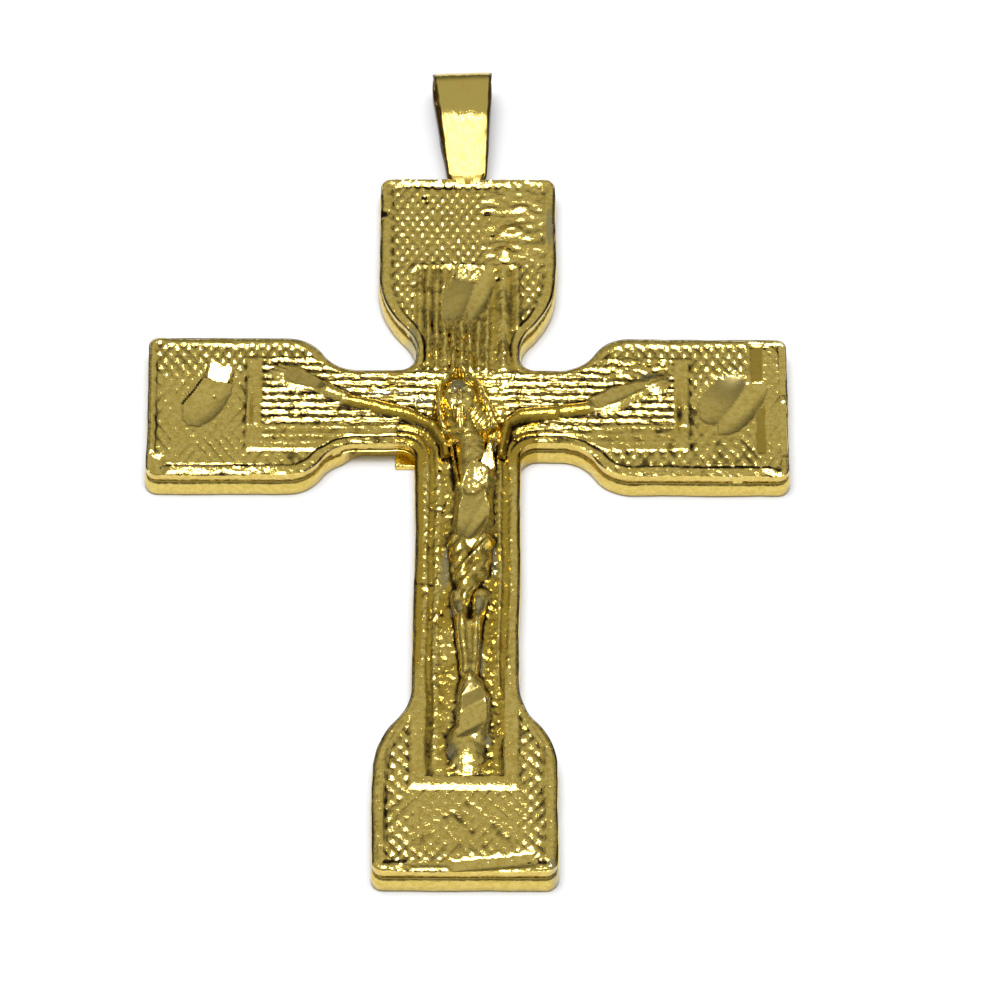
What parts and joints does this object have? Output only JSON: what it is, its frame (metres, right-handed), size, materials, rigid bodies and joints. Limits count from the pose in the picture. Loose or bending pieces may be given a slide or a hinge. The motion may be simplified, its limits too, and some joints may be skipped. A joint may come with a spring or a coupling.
{
  "type": "crucifix pendant",
  "caption": "Gold-tone cast crucifix pendant with wide bevelled ends, a figure in relief on a ribbed cross, bright-cut facets and a hinged bail for a chain.",
  "frame": {"origin": "on the flat back, where the middle lines of the stem and of the arms cross; the back lies on the surface", "axes": "+Z out of the decorated face, +Y up the stem towards the bail, +X to the viewer's right along the arms"},
  "size_m": [0.0316, 0.0498, 0.0028],
  "materials": {
    "cast_gold": "gold-plated casting, satin in the textured panels and polished on the border and the cuts, with amber and brown patina in the recesses",
    "strip_gold": "gold-plated sheet strip, satin, with fine lengthwise polishing marks and dark edges"
  },
  "bodies": {
    "pendant": {"cross": "cast_gold"},
    "bail_loop": {"bail": "strip_gold"}
  },
  "joints": [
    {"name": "bail_swing", "type": "hinge", "parent": "pendant", "child": "bail_loop", "pos_m": [0, 0.01425, 0.00095], "axis": [1, 0, 0], "range_deg": [-5, 45]}
  ]
}
